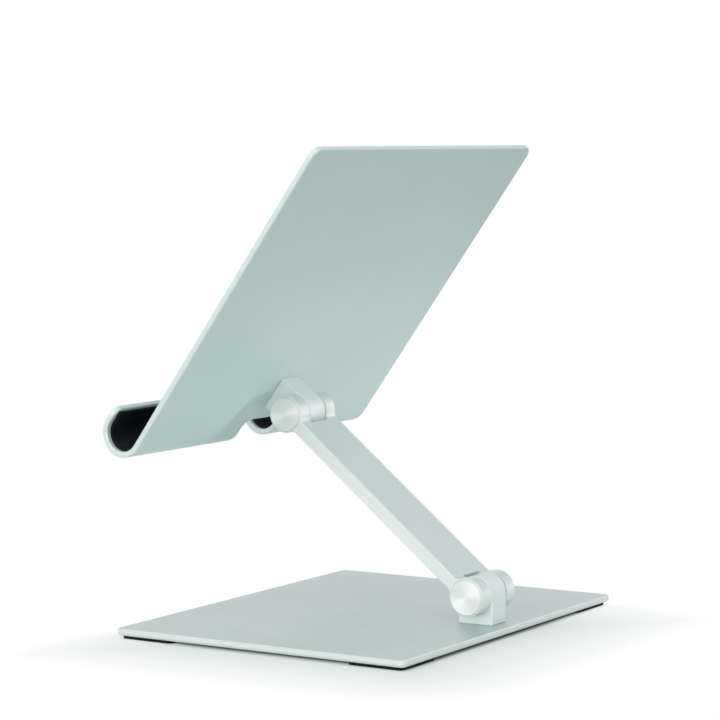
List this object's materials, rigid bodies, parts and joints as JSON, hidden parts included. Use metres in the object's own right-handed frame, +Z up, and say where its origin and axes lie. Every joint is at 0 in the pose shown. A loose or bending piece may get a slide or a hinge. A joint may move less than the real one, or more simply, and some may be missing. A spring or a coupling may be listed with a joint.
{
  "type": "tablet stand",
  "caption": "Folding aluminium tablet stand: flat base, forked arm on friction hinges, bent holder plate with hooks and a cable notch.",
  "frame": {"origin": "on the table, under the middle of the stand's box in its stored pose", "axes": "+Z up, -Y towards the user, +X to the user's right"},
  "size_m": [0.155, 0.131, 0.1814],
  "materials": {
    "anodised": "satin, fine blasted and clear anodised",
    "spun_caps": "turned, with fine rings",
    "steel": "zinc plated",
    "bushes": "moulded, matt",
    "rubber": "matt"
  },
  "bodies": {
    "base": {"base_plate": "anodised", "base_block": "anodised", "base_block_screws": "steel", "base_bush_left": "bushes", "base_bush_right": "bushes", "foot_front_left": "rubber", "foot_front_right": "rubber", "foot_rear_left": "rubber", "foot_rear_right": "rubber"},
    "arm": {"arm": "anodised", "base_hinge_bolt": "steel", "base_hinge_nut": "steel", "base_hinge_spring": "steel", "base_cap_left": "spun_caps", "base_cap_right": "spun_caps", "holder_hinge_bolt": "steel", "holder_hinge_nut": "steel", "holder_hinge_spring": "steel", "holder_cap_left": "spun_caps", "holder_cap_right": "spun_caps"},
    "holder": {"holder_plate": "anodised", "holder_block": "anodised", "holder_block_screws": "steel", "holder_bush_left": "bushes", "holder_bush_right": "bushes", "plate_pad": "rubber", "hook_liner_left": "rubber", "hook_liner_right": "rubber"}
  },
  "joints": [
    {"name": "base_hinge", "type": "hinge", "parent": "base", "child": "arm", "pos_m": [0, 0.05199, 0.0149], "axis": [-1, 0, 0], "range_deg": [-38.9, 35]},
    {"name": "holder_hinge", "type": "hinge", "parent": "arm", "child": "holder", "pos_m": [0, -0.02786, 0.07933], "axis": [1, 0, 0], "range_deg": [-92.2, 7.8]}
  ]
}
